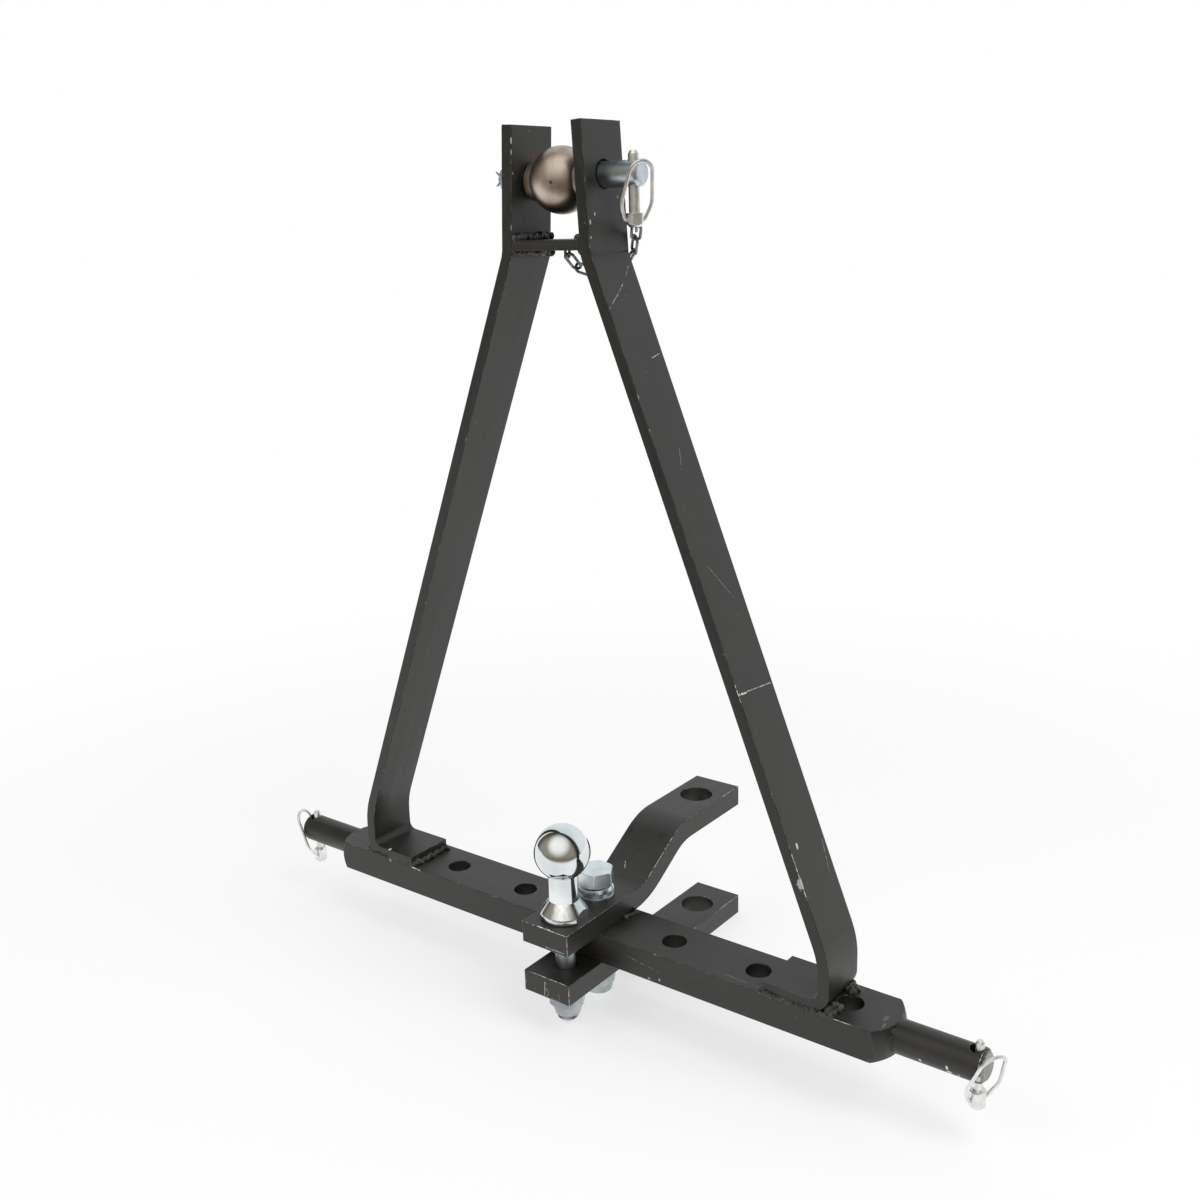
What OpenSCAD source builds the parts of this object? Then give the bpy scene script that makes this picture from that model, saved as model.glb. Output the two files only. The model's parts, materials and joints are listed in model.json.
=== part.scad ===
// Three-point drawbar: a cross bar with link pins, an A-frame of bent flat bar with the top link
// ball and its pin, and two joggled straps that carry a tow ball and make a jaw behind the bar.
// The origin is on the link pins' axis, in the A-frame's centre plane. The tow ball is towards -Y.

/* [Cross bar] */
// Length between the corners of the two turned shoulders
bar_len = 590; // [540:5:640]
// Width of the bar, front to back
bar_w = 56; // [52:1:64]
// Thickness of the bar
bar_t = 28; // [24:1:34]
// Radius of the ball shape that each shoulder is turned to
shoulder_r = 41.6; // [38:0.2:50]
// Diameter of the link pins
link_pin_d = 28; // [22:1:30]
// Length of a link pin, from the shoulder's corner to its end
link_pin_len = 85; // [75:1:100]
// Length of a link pin's bearing stretch, from the shoulder's round face
link_pin_bearing = 55; // [50:1:56]
// Length of the taper on a link pin's end
link_pin_taper = 4; // [1:0.5:6]
// Diameter of the hole for the linch pin
linch_hole_d = 11.5; // [10:0.5:13]
// Distance of the linch hole from the link pin's end
linch_hole_inset = 10; // [9:0.5:16]
// Diameter of the vertical holes in the bar
bar_hole_d = 22; // [20.6:0.2:26]
// Distance between neighbouring holes
bar_hole_pitch = 85; // [78:1:86]
// Distance of the hole row's middle from the A-frame's centre plane
bar_hole_shift = 9; // [0:1:10]

/* [Uprights] */
// Width of the flat bar
flat_w = 50; // [44:1:52]
// Thickness of the flat bar
flat_t = 10; // [8:0.5:12]
// Distance of a foot's inner end from the centre plane
foot_in = 198.7; // [185:0.1:205]
// Distance of a foot's outer face from the centre plane
foot_out = 258.7; // [250:0.1:262]
// Inside radius of the bend at the foot
foot_bend_r = 7; // [5:0.5:12]
// Height of the upright stretch above the foot bend
foot_rise = 13.5; // [6:0.5:25]
// Outside radius of the bend where the leg starts to lean
knee_r = 78; // [40:1:110]
// Distance of the outer face from the centre plane at the waist, where the leg meets the ear
waist_out = 44.6; // [42:0.1:50]
// Height of the waist
waist_z = 598.8; // [540:0.2:660]
// Radius of the crease at the waist, on the outer face
waist_r = 10; // [4:0.5:16]
// Length of an ear, from the waist to its end
ear_len = 98.1; // [88:0.1:120]
// Lean of the ears towards each other, in degrees
ear_lean = 3.2; // [0:0.1:4]
// Diameter of the hole in an ear
ear_hole_d = 22; // [21.6:0.2:26]
// Height of the ear hole above the waist
ear_hole_rise = 58.2; // [54:0.2:64]
// Thickness of the spacer plate
spacer_t = 8; // [5:0.5:10]
// Height of the spacer plate's underside above the waist
spacer_rise = 2.2; // [2:0.1:6]
// Leg length of the weld beads
bead = 5.5; // [3:0.5:7]

/* [Straps] */
// Width of a strap
strap_w = 50; // [44:1:56]
// Thickness of a strap
strap_t = 20; // [16:1:24]
// Distance of a strap's front end from the bolt
strap_front = 75; // [68:1:90]
// Distance of a strap's rear end from the bolt
strap_rear = 206; // [190:1:230]
// Height that a strap steps away from the bar
joggle = 36.5; // [20:0.5:40]
// Slope of the step, in degrees
joggle_slope = 31; // [24:1:36]
// Distance of the crease, where the step starts, from the bolt
crease_y = 40.3; // [39:0.1:46]
// Outside radius of the first bend
crease_bend_r = 80; // [40:1:90]
// Inside radius of the second bend
step_bend_r = 46; // [20:1:60]
// Diameter of the jaw's pin hole
jaw_hole_d = 32; // [26:0.5:34]
// Distance of the jaw's pin hole from the bolt
jaw_hole_y = 166.5; // [160:0.5:172]
// Distance of the tow ball from the bolt
ball_hole_y = 46.5; // [44:0.5:50]

/* [Tow ball] */
// Diameter of the tow ball
tow_d = 50; // [48:0.2:52]
// Height of the ball's centre above the strap
tow_rise = 61.7; // [56:0.1:75]
// Diameter of the neck
tow_neck_d = 27; // [24:0.5:30]
// Diameter of the base
tow_base_d = 43; // [38:0.5:46]
// Height of the band at the foot of the base
tow_band_h = 6; // [4:0.5:9]
// Height of the base with its flare
tow_base_h = 17; // [14:0.5:20]
// Width across the two wrench flats of the base
tow_flats = 38; // [34:0.5:42]
// Diameter of the threaded shank
tow_shank_d = 19; // [16:0.5:20]
// Length of the shank past the lower strap
tow_shank_out = 33.6; // [28:0.2:40]

/* [Hitch bolt] */
// Diameter of the bolt
bolt_d = 20; // [16:0.5:20]
// Width across the flats of bolt head and nuts
hex_af = 30; // [28:0.5:32]
// Height of the bolt head
head_h = 14; // [10:0.5:16]
// Thickness of a flat washer
washer_t = 3; // [2:0.2:4]
// Diameter of the washers
washer_d = 33; // [31.5:0.5:38]
// Section of the split washer's wire
split_t = 4.5; // [3:0.25:5.5]
// Height of the hexagon of a lock nut
nut_h = 14; // [10:0.5:18]
// Height of a lock nut's tapered collar
collar_h = 10; // [5:0.5:11]

/* [Top link pin] */
// Diameter of the top link pin
top_pin_d = 20; // [18:0.2:21]
// Distance of the pin's right end from the centre plane
top_pin_right = 77; // [74:0.5:90]
// Distance of the pin's left end from the centre plane
top_pin_left = 59.6; // [57:0.2:70]
// Distance of the linch hole from the pin's right end
top_linch_inset = 8; // [6.5:0.5:10]
// Diameter of the washer on the pin's left end
end_washer_d = 34; // [28:1:40]
// Thickness of that washer
end_washer_t = 4; // [2:0.5:5]
// Side play of the pin between washer and ear
pin_play = 3; // [3:0.5:5]
// Diameter of the split pin
cotter_d = 3.6; // [2.4:0.2:4.4]
// Diameter of the top link ball
link_ball_d = 52; // [44:1:54]
// Width of the top link ball over its hubs
link_ball_w = 56; // [48:1:60]
// Diameter of the ball's hubs
hub_d = 30; // [28:0.5:34]
// Bore of the ball
link_ball_bore = 25.4; // [21.4:0.2:25.4]

/* [Linch pins] */
// Diameter of the shank of the two lower linch pins
linch_d = 7; // [5:0.5:8.5]
// Height of their tips above the link pins' axis
linch_tip = 20.5; // [17:0.5:24]
// Depth of the top of their heads below the axis
linch_head_top = 22.5; // [17:0.5:26]
// Height of their heads
linch_head_h = 15.5; // [12:0.5:18]
// Diameter of their heads
linch_head_d = 13; // [11:0.5:15]
// Diameter of the shank of the top linch pin
top_linch_d = 8.5; // [6:0.5:8.5]
// Height of the top linch pin's tip above its pin's axis
top_linch_tip = 16.7; // [13:0.1:20]
// Depth of the top of its head below that axis
top_linch_head_top = 28.8; // [26:0.2:32]
// Height of its head
top_linch_head_h = 10.5; // [8:0.5:13]
// Wire diameter of the spring rings
ring_wire = 2.5; // [2:0.1:3]
// Greatest width of a lower ring, between wire centres
ring_w = 31; // [29:0.5:36]
// Length of a lower ring, from its hinge to its top
ring_len = 52; // [48:0.5:60]
// Greatest width of the top ring, between wire centres
top_ring_w = 26; // [24:0.5:32]
// Length of the top ring, from its hinge to its top
top_ring_len = 46; // [40:0.5:56]
// Lean of the rings away from their linch pins, in degrees
ring_lean = 22; // [18:1:28]
// Turn of the right and the top linch pin about the vertical, in degrees
ring_turn = 32; // [20:1:36]
// Turn of the left linch pin about the vertical, in degrees
left_ring_turn = 20; // [0:1:30]

/* [Chain] */
// Wire diameter of the chain
chain_wire = 2.4; // [1.8:0.1:2.5]
// Outside length of a link
link_len = 21; // [20.8:0.1:21.2]
// Outside width of a link
link_w = 9.5; // [9.2:0.1:9.8]

/* [Fits] */
// Gap between pieces that lie or turn on each other
gap = 0.3; // [0.2:0.05:0.5]
// Gap between a thread and its nut
thread_gap = 0.1; // [0.05:0.05:0.2]

/* [Hidden] */
$fn = 64;

// How far the straight stretches of a bent bar run into its bends, and how much less each face
// of a bend stands out than theirs
lap = 0.5;
bend_slack = 0.01;
// Extra radius of the balls at the corners of a wire
wire_ball = 0.35;

// Finishes
paint = "#34332f";
zinc = "#c3c8ca";
steel = "#9a8a78";
wire_grey = "#6d6f70";
weld = "#2b2926";

// Cross bar
bar_top = bar_t / 2;
bar_front = -bar_w / 2;
shoulder_x = bar_len / 2;
shoulder_c = shoulder_x - sqrt(shoulder_r * shoulder_r - (bar_w * bar_w + bar_t * bar_t) / 4);
link_pin_end = shoulder_x + link_pin_len;
link_pin_r = link_pin_d / 2;
pin_relief = 0.2;
relieved_r = link_pin_r - pin_relief;
bearing_start = shoulder_c + sqrt(shoulder_r * shoulder_r - link_pin_r * link_pin_r);
bearing_end = bearing_start + link_pin_bearing;
linch_x = link_pin_end - linch_hole_inset;
holes_each_side = 3;

// Uprights
flat_mid = bar_front + flat_w / 2;
foot_bend_x = foot_out - foot_bend_r - flat_t;
knee_z = bar_top + flat_t + foot_bend_r + foot_rise;
waist_dx = foot_out - knee_r - waist_out;
waist_dz = waist_z - knee_z;
leg_len = sqrt(waist_dx * waist_dx + waist_dz * waist_dz - knee_r * knee_r);
leg_lean = atan2(waist_dz, -waist_dx) - acos(knee_r / norm([waist_dx, waist_dz]));
waist_turn = leg_lean - ear_lean;
waist_cut = waist_r * tan(waist_turn / 2);
ear_hole_z = waist_z + ear_hole_rise;
spacer_z = waist_z + spacer_rise;
hook_z = spacer_z - 3.5;

// Straps
strap_turn_cut = (crease_bend_r - strap_t) * tan(joggle_slope / 2);
step_turn_cut = (step_bend_r + strap_t) * tan(joggle_slope / 2);
step_y = crease_y + joggle / tan(joggle_slope);

// Fasteners
seat = bar_top + strap_t;
lower_seat = -seat;
split_h = 2 * split_t;
head_z = seat + washer_t + split_h;
nut_z = lower_seat - washer_t;
nut_end = nut_z - nut_h - collar_h;
hex_r = hex_af / 2 / cos(30);

// Top link pin: it lies on the bottom of the ear holes
top_pin_r = top_pin_d / 2;
top_pin_z = ear_hole_z - ear_hole_d / 2 + gap + top_pin_r;
top_linch_x = top_pin_right - top_linch_inset;
link_ball_z = top_pin_z + top_pin_r + gap - link_ball_bore / 2;
washer_x = -ear_out(top_pin_z - end_washer_d / 2) - pin_play - gap - end_washer_t;
cotter_x = washer_x - gap - cotter_d / 2;

// Linch pins: hinge heights of the three rings
ring_z = -linch_head_top - linch_head_h / 2;
top_ring_z = top_pin_z - top_linch_head_top - top_linch_head_h / 2;
linch_off = 2;

// Chain: heading, slope and roll of each link in degrees, from the staple to the top linch pin.
// hook_share is the staple's place across the width of the spacer plate.
link_heading = [92, 70, 44, 12, -29, -46, -50, -53];
link_slope = [-39, -18, 5, 21, 38, 41, 34, 13];
link_roll = [-15, 80, 0, 95, 30, 110, -10, 85];
link_arc = (link_w - chain_wire) / 2;
link_side = link_len - link_w;
link_reach = (link_len - chain_wire) / 2;
link_pitch = link_len - 2 * chain_wire - 0.8;
hook_x = -1.3;
hook_share = 0.6;
hook_y = bar_front + hook_share * flat_w;
hook_r = chain_wire + 0.35;

// Distance of an ear's outer and inner face from the centre plane at height z
function ear_out(z) = waist_out - (z - waist_z) * tan(ear_lean);
function ear_in(z) = ear_out(z) - flat_t / cos(ear_lean);

// Direction of a chain link, and its centre, counted from the staple
function link_dir(i) = [
    cos(link_slope[i]) * cos(link_heading[i]),
    cos(link_slope[i]) * sin(link_heading[i]),
    sin(link_slope[i])
];
function link_centre(i) = i == 0
    ? [hook_x, hook_y, hook_z] + link_reach * link_dir(0)
    : link_centre(i - 1) + link_pitch / 2 * (link_dir(i - 1) + link_dir(i));

// Flat bar along +X, its underside at z = 0 and its side at y = 0. A step of the path is
// [straight run, turn, inside radius, outside radius]; a positive turn bends it upwards.
// A bend with no inside radius has a sharp crease on the inside.
module bent_bar(path, w, t, i = 0) {
    if (i < len(path)) {
        run = path[i][0];
        turn = path[i][1];
        inside = path[i][2];
        outside = path[i][3];
        back = i > 0 ? lap : 0;
        ahead = i < len(path) - 1 ? lap : 0;
        translate([-back, 0, 0])
            cube([back + run + ahead, w, t]);
        translate([run, 0, 0]) {
            if (turn > 0) {
                difference() {
                    translate([0, w - bend_slack, outside])
                        rotate([90, 90, 0])
                            bend_sector(turn, inside, outside, w);
                    if (inside == 0) crease_notch(turn, outside, w, t - bend_slack);
                }
                translate([0, 0, outside])
                    rotate([0, -turn, 0])
                        translate([0, 0, -outside])
                            bent_bar(path, w, t, i + 1);
            }
            if (turn < 0) {
                translate([0, w - bend_slack, t - outside])
                    mirror([0, 0, 1])
                        rotate([90, 90, 0])
                            bend_sector(-turn, inside, outside, w);
                translate([0, 0, t - outside])
                    rotate([0, -turn, 0])
                        translate([0, 0, outside - t])
                            bent_bar(path, w, t, i + 1);
            }
        }
    }
}

module bend_sector(turn, inside, outside, w) {
    low = inside == 0 ? 0 : inside + bend_slack;
    rotate_extrude(angle = turn, $fn = 180)
        translate([low, 0])
            square([outside - bend_slack - low, w - 2 * bend_slack]);
}

// The space above the two inside faces of a creased bend
module crease_notch(turn, outside, w, t) {
    x = (outside - t) * tan(turn / 2);
    far = 2 * outside;
    translate([0, w + 1, 0])
        rotate([90, 0, 0])
            linear_extrude(w + 2)
                polygon([
                    [-5, t], [x, t], [x + far * cos(turn), t + far * sin(turn)], [-5, far]
                ]);
}

// Round wire along +X in the plane z = 0. A step of the path is [straight run, turn, radius];
// all turns are to the left.
module bent_wire(path, r, i = 0) {
    if (i < len(path)) {
        run = path[i][0];
        turn = path[i][1];
        bend = path[i][2];
        rotate([0, 90, 0])
            cylinder(h = run, r = r, $fn = 24);
        if (turn > 0)
            translate([run, bend, 0]) {
                rotate([0, 0, -90])
                    rotate_extrude(angle = turn, $fn = 48)
                        translate([bend, 0])
                            circle(r, $fn = 24);
                rotate([0, 0, turn])
                    translate([0, -bend, 0])
                        bent_wire(path, r, i + 1);
            }
    }
}

// Round wire through a row of points, its corners rounded by balls a touch thicker than it
module wire_through(points, r) {
    for (i = [0:len(points) - 2])
        translate(points[i]) {
            step = points[i + 1] - points[i];
            rotate([0, acos(step[2] / norm(step)), atan2(step[1], step[0])])
                cylinder(h = norm(step), r = r, $fn = 24);
        }
    for (p = points)
        translate(p)
            sphere(r + wire_ball, $fn = 24);
}

module cross_bar() {
    color(paint)
        difference() {
            union() {
                translate([-shoulder_c, bar_front, -bar_top])
                    cube([2 * shoulder_c, bar_w, bar_t]);
                bar_end();
                mirror([1, 0, 0])
                    bar_end();
            }
            for (k = [-holes_each_side:holes_each_side])
                translate([bar_hole_shift + k * bar_hole_pitch, 0, -bar_top - 1])
                    cylinder(h = bar_t + 2, d = bar_hole_d);
            for (x = [-linch_x, linch_x])
                translate([x, 0, -link_pin_r - 1])
                    cylinder(h = link_pin_d + 2, d = linch_hole_d);
        }
}

// Turned shoulder and link pin at the bar's right end. The pin is turned to size as far as
// the lower link's ball reaches, and is a hair thinner around the linch hole.
module bar_end() {
    intersection() {
        translate([shoulder_c - bar_t / 2, bar_front, -bar_top])
            cube([shoulder_r + bar_t, bar_w, bar_t]);
        translate([shoulder_c, 0, 0])
            rotate([0, 90, 0])
                sphere(r = shoulder_r, $fn = 128);
    }
    translate([shoulder_c, 0, 0])
        rotate([0, 90, 0])
            cylinder(h = bearing_end - shoulder_c, r = link_pin_r);
    translate([shoulder_c, 0, 0])
        rotate([0, 90, 0])
            cylinder(h = link_pin_end - link_pin_taper - shoulder_c, r = relieved_r);
    translate([link_pin_end - link_pin_taper, 0, 0])
        rotate([0, 90, 0])
            cylinder(h = link_pin_taper, r1 = relieved_r, r2 = link_pin_r - link_pin_taper);
}

// Right upright: foot, knee, leg and ear, bent from one flat bar
module upright() {
    color(paint)
        difference() {
            translate([foot_in, bar_front, bar_top])
                bent_bar([
                    [foot_bend_x - foot_in, 90, foot_bend_r, foot_bend_r + flat_t],
                    [foot_rise, leg_lean, knee_r - flat_t, knee_r],
                    [leg_len - waist_cut, -waist_turn, waist_r, waist_r + flat_t],
                    [ear_len - waist_cut, 0, 0, 0]
                ], flat_w, flat_t);
            translate([ear_in(ear_hole_z) - flat_t, flat_mid, ear_hole_z])
                rotate([0, 90, 0])
                    cylinder(h = 3 * flat_t, d = ear_hole_d);
        }
}

module left_upright() {
    mirror([1, 0, 0])
        upright();
}

module right_upright() {
    upright();
}

// Plate between the ears, its sides cut to their lean
module spacer_plate() {
    low = ear_in(spacer_z);
    high = ear_in(spacer_z + spacer_t);
    color(paint)
        translate([0, bar_front + flat_w, spacer_z])
            rotate([90, 0, 0])
                linear_extrude(flat_w)
                    polygon([[-low, 0], [low, 0], [high, spacer_t], [-high, spacer_t]]);
}

// Weld bead: a prism with a triangular section, drawn along +Y
module weld_bead(points, y, length) {
    translate([0, y + length, 0])
        rotate([90, 0, 0])
            linear_extrude(length)
                polygon(points);
}

// Welds of the right foot: a bead at the inner end, and fill below the bend on both sides of
// the bar's end hole
module foot_welds() {
    side = (flat_w - bar_hole_d) / 2 - 5;
    color(weld) {
        weld_bead([
            [foot_in, bar_top], [foot_in, bar_top + bead], [foot_in - bead, bar_top]
        ], bar_front + 1, flat_w - 2);
        for (y = [bar_front, bar_front + flat_w - side])
            difference() {
                weld_bead([
                    [foot_bend_x + 6, bar_top],
                    [foot_out + 3, bar_top],
                    [foot_out + 1, bar_top + bead + 2],
                    [foot_out - 1, bar_top + foot_bend_r + 3]
                ], y, side);
                translate([foot_bend_x, y - 1, bar_top + flat_t + foot_bend_r])
                    rotate([-90, 0, 0])
                        cylinder(h = side + 2, r = foot_bend_r + flat_t + 0.05);
            }
    }
}

module left_foot_welds() {
    mirror([1, 0, 0])
        foot_welds();
}

module right_foot_welds() {
    foot_welds();
}

// Four beads that hold the spacer plate, above and below it at each ear
module spacer_welds() {
    top = spacer_z + spacer_t;
    color(weld)
        for (side = [0, 1])
            mirror([side, 0, 0]) {
                weld_bead([
                    [ear_in(top) - bead, top], [ear_in(top), top], [ear_in(top + bead), top + bead]
                ], bar_front + 1, flat_w - 2);
                weld_bead([
                    [ear_in(spacer_z) - bead + 1, spacer_z],
                    [ear_in(spacer_z), spacer_z],
                    [ear_in(spacer_z) - 0.3, spacer_z - bead + 3]
                ], bar_front + 1, flat_w - 2);
            }
}

// Bent wire loop under the spacer plate, which holds the chain
module chain_staple() {
    leg = spacer_z - hook_z;
    color(wire_grey)
        translate([hook_x, hook_y, hook_z])
            rotate([0, 0, link_heading[0]])
                rotate([90, 0, 0])
                    rotate([0, 0, -90])
                        translate([-leg, -hook_r, 0])
                            bent_wire([[leg, 180, hook_r], [leg, 0, 0]], chain_wire / 2);
}

module top_link_pin() {
    chamfer = 2;
    color(zinc)
        difference() {
            union() {
                translate([-top_pin_left + chamfer, flat_mid, top_pin_z])
                    rotate([0, 90, 0])
                        cylinder(h = top_pin_left + top_pin_right - 2 * chamfer, r = top_pin_r);
                translate([top_pin_right - chamfer, flat_mid, top_pin_z])
                    rotate([0, 90, 0])
                        cylinder(h = chamfer, r1 = top_pin_r, r2 = top_pin_r - chamfer);
                translate([-top_pin_left, flat_mid, top_pin_z])
                    rotate([0, 90, 0])
                        cylinder(h = chamfer, r1 = top_pin_r - chamfer, r2 = top_pin_r);
            }
            translate([top_linch_x, flat_mid, top_pin_z - top_pin_r - 1])
                cylinder(h = top_pin_d + 2, d = top_linch_d + 1.5);
            translate([cotter_x, flat_mid - top_pin_r - 1, top_pin_z])
                rotate([-90, 0, 0])
                    cylinder(h = top_pin_d + 2, d = cotter_d + 2 * gap);
        }
}

// Washer that hangs on the pin, with its bore's top on the pin
module top_pin_washer() {
    bore = top_pin_r + 0.5;
    color(zinc)
        translate([washer_x, flat_mid, top_pin_z - bore + top_pin_r + gap])
            rotate([0, 90, 0])
                difference() {
                    cylinder(h = end_washer_t, d = end_washer_d);
                    translate([0, 0, -1])
                        cylinder(h = end_washer_t + 2, r = bore);
                }
}

// Split pin: eye at the rear, legs bent apart at the front
module top_pin_cotter() {
    eye_r = 3.2;
    leg = 8;
    leg_r = cotter_d / 4;
    leg_splay = 38;
    front = top_pin_r + 3.5;
    color(zinc)
        translate([cotter_x, flat_mid, top_pin_z]) {
            rotate([90, 0, 0])
                translate([0, 0, -front])
                    cylinder(h = 2 * front, d = cotter_d, $fn = 24);
            translate([0, front + eye_r, 0])
                rotate([0, 90, 0])
                    rotate_extrude($fn = 48)
                        translate([eye_r, 0])
                            circle(leg_r, $fn = 24);
            for (side = [-1, 1])
                translate([0, 1 - front, side * leg_r / 2])
                    rotate([90 - side * leg_splay, 0, 0])
                        cylinder(h = leg, r = leg_r, $fn = 24);
        }
}

module top_link_ball() {
    color(steel)
        translate([0, flat_mid, link_ball_z])
            rotate([0, 90, 0])
                difference() {
                    union() {
                        sphere(d = link_ball_d, $fn = 96);
                        translate([0, 0, -link_ball_w / 2])
                            cylinder(h = link_ball_w, d = hub_d);
                    }
                    translate([0, 0, -link_ball_w / 2 - 1])
                        cylinder(h = link_ball_w + 2, d = link_ball_bore);
                }
}

// Linch pin about its own axis, with z = 0 at the ring's hinge: head with two flats, a cross
// hole along X, and a shank with a blunt tip
module linch_pin(d, tip, head_d, head_h) {
    chamfer = 2.5;
    point = d / 3;
    color(zinc)
        difference() {
            union() {
                intersection() {
                    union() {
                        translate([0, 0, chamfer - head_h / 2])
                            cylinder(h = head_h - chamfer, d = head_d);
                        translate([0, 0, -head_h / 2])
                            cylinder(h = chamfer, d1 = head_d - 2 * chamfer, d2 = head_d);
                    }
                    cube([head_d + 1, head_d - 2.5, head_h], center = true);
                }
                cylinder(h = tip - point, d = d);
                translate([0, 0, tip - point])
                    cylinder(h = point, d1 = d, d2 = d - point);
            }
            translate([-head_d, 0, 0])
                rotate([0, 90, 0])
                    cylinder(h = 2 * head_d, r = ring_wire / 2 + gap);
        }
}

// Spring ring in the plane y = 0, its hinge along X at the origin: the straight stretch in
// the head, two splayed sides, and an arch
module spring_ring(w, length, head_d) {
    foot = head_d / 2 + 2;
    corner = [w / 2, 0.28 * length];
    taper = 8;
    rise = length - corner[1];
    arch = (corner[0] * cos(taper) - rise * sin(taper)) / (1 - sin(taper));
    shoulder = [arch * cos(taper), length - arch + arch * sin(taper)];
    right = [[foot, 0, 0], [corner[0], 0, corner[1]], [shoulder[0], 0, shoulder[1]]];
    left = [for (p = right) [-p[0], 0, p[2]]];
    color(zinc) {
        wire_through([left[2], left[1], left[0], right[0], right[1], right[2]], ring_wire / 2);
        translate([0, 0, length - arch])
            rotate([90, 0, 0])
                rotate([0, 0, taper])
                    rotate_extrude(angle = 180 - 2 * taper, $fn = 96)
                        translate([arch, 0])
                            circle(ring_wire / 2, $fn = 24);
    }
}

// Places of the three linch pins: the hinge line's middle, and the turn about the vertical.
// A turn of 0 puts the hinge across the link pin.
module at_right_linch() {
    translate([linch_x + linch_off, 0, ring_z])
        rotate([0, 0, -90 - ring_turn + 180])
            children();
}

module at_left_linch() {
    translate([-linch_x + linch_off, 0, ring_z])
        rotate([0, 0, -90 + left_ring_turn])
            children();
}

module at_top_linch() {
    translate([top_linch_x, flat_mid, top_ring_z])
        rotate([0, 0, -90 - ring_turn + 180])
            children();
}

module right_linch_pin() {
    at_right_linch()
        linch_pin(linch_d, linch_tip - ring_z, linch_head_d, linch_head_h);
}

module right_linch_ring() {
    at_right_linch()
        rotate([ring_lean, 0, 0])
            spring_ring(ring_w, ring_len, linch_head_d);
}

module left_linch_pin() {
    at_left_linch()
        linch_pin(linch_d, linch_tip - ring_z, linch_head_d, linch_head_h);
}

module left_linch_ring() {
    at_left_linch()
        rotate([ring_lean, 0, 0])
            spring_ring(ring_w, ring_len, linch_head_d);
}

module top_linch_pin() {
    at_top_linch()
        linch_pin(top_linch_d, top_pin_z + top_linch_tip - top_ring_z, linch_head_d, top_linch_head_h);
}

module top_linch_ring() {
    at_top_linch()
        rotate([ring_lean, 0, 0])
            spring_ring(top_ring_w, top_ring_len, linch_head_d);
}

// One chain link: two half rounds and two straight sides
module chain_link(i) {
    color(wire_grey)
        translate(link_centre(i))
            rotate([0, 0, link_heading[i]])
                rotate([0, -link_slope[i], 0])
                    rotate([link_roll[i], 0, 0])
                        translate([-link_side / 2, -link_arc, 0])
                            bent_wire([
                                [link_side, 180, link_arc], [link_side, 180, link_arc]
                            ], chain_wire / 2);
}

module chain_link_1() {
    chain_link(0);
}

module chain_link_2() {
    chain_link(1);
}

module chain_link_3() {
    chain_link(2);
}

module chain_link_4() {
    chain_link(3);
}

module chain_link_5() {
    chain_link(4);
}

module chain_link_6() {
    chain_link(5);
}

module chain_link_7() {
    chain_link(6);
}

module chain_link_8() {
    chain_link(7);
}

// Strap on top of the bar: flat in front, then stepped up, then flat again
module strap() {
    color(paint)
        translate([bar_hole_shift, 0, 0])
            difference() {
                translate([strap_w / 2, -strap_front, bar_top])
                    rotate([0, 0, 90])
                        bent_bar([
                            [strap_front + crease_y - strap_turn_cut, joggle_slope, 0, crease_bend_r],
                            [
                                joggle / sin(joggle_slope) - strap_turn_cut - step_turn_cut,
                                -joggle_slope, step_bend_r, step_bend_r + strap_t
                            ],
                            [strap_rear - step_y - step_turn_cut, 0, 0, 0]
                        ], strap_w, strap_t);
                translate([0, 0, bar_top - 1])
                    cylinder(h = strap_t + 2, d = bolt_d + 2);
                translate([0, -ball_hole_y, bar_top - 1])
                    cylinder(h = strap_t + 2, d = tow_shank_d + 1);
                translate([0, jaw_hole_y, bar_top + joggle - 1])
                    cylinder(h = strap_t + 2, d = jaw_hole_d);
            }
}

module upper_strap() {
    strap();
}

module lower_strap() {
    mirror([0, 0, 1])
        strap();
}

// Tow ball, neck, flared base with wrench flats, and threaded shank
module tow_ball() {
    flare_h = tow_base_h - tow_band_h;
    chamfer = 2.5;
    shank_h = 2 * seat + tow_shank_out;
    color(zinc)
        translate([bar_hole_shift, -ball_hole_y, seat]) {
            translate([0, 0, tow_rise])
                sphere(d = tow_d, $fn = 96);
            cylinder(h = tow_rise, d = tow_neck_d);
            intersection() {
                union() {
                    cylinder(h = tow_band_h, d = tow_base_d);
                    translate([0, 0, tow_band_h])
                        cylinder(h = flare_h, d1 = tow_base_d, d2 = tow_neck_d);
                }
                rotate([0, 0, -20])
                    translate([-tow_flats / 2, -tow_base_d, 0])
                        cube([tow_flats, 2 * tow_base_d, tow_base_h]);
            }
            translate([0, 0, chamfer - shank_h])
                cylinder(h = shank_h - chamfer, d = tow_shank_d);
            translate([0, 0, -shank_h])
                cylinder(h = chamfer, d1 = tow_shank_d - 2 * chamfer, d2 = tow_shank_d);
        }
}

// Flat washer with its underside at height z
module washer(y, z, bore) {
    color(zinc)
        translate([bar_hole_shift, y, z])
            difference() {
                cylinder(h = washer_t, d = washer_d);
                translate([0, 0, -1])
                    cylinder(h = washer_t + 2, d = bore);
            }
}

// Hexagon with both rims turned down by a cone, standing on z = 0
module hexagon(h) {
    rim = 2;
    intersection() {
        cylinder(h = h, r = hex_r, $fn = 6);
        union() {
            cylinder(h = rim, r1 = hex_r - 1.6, r2 = hex_r + 0.4);
            translate([0, 0, rim])
                cylinder(h = h - 2 * rim, r = hex_r + 0.4);
            translate([0, 0, h - rim])
                cylinder(h = rim, r1 = hex_r + 0.4, r2 = hex_r - 1.6);
        }
    }
}

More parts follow.
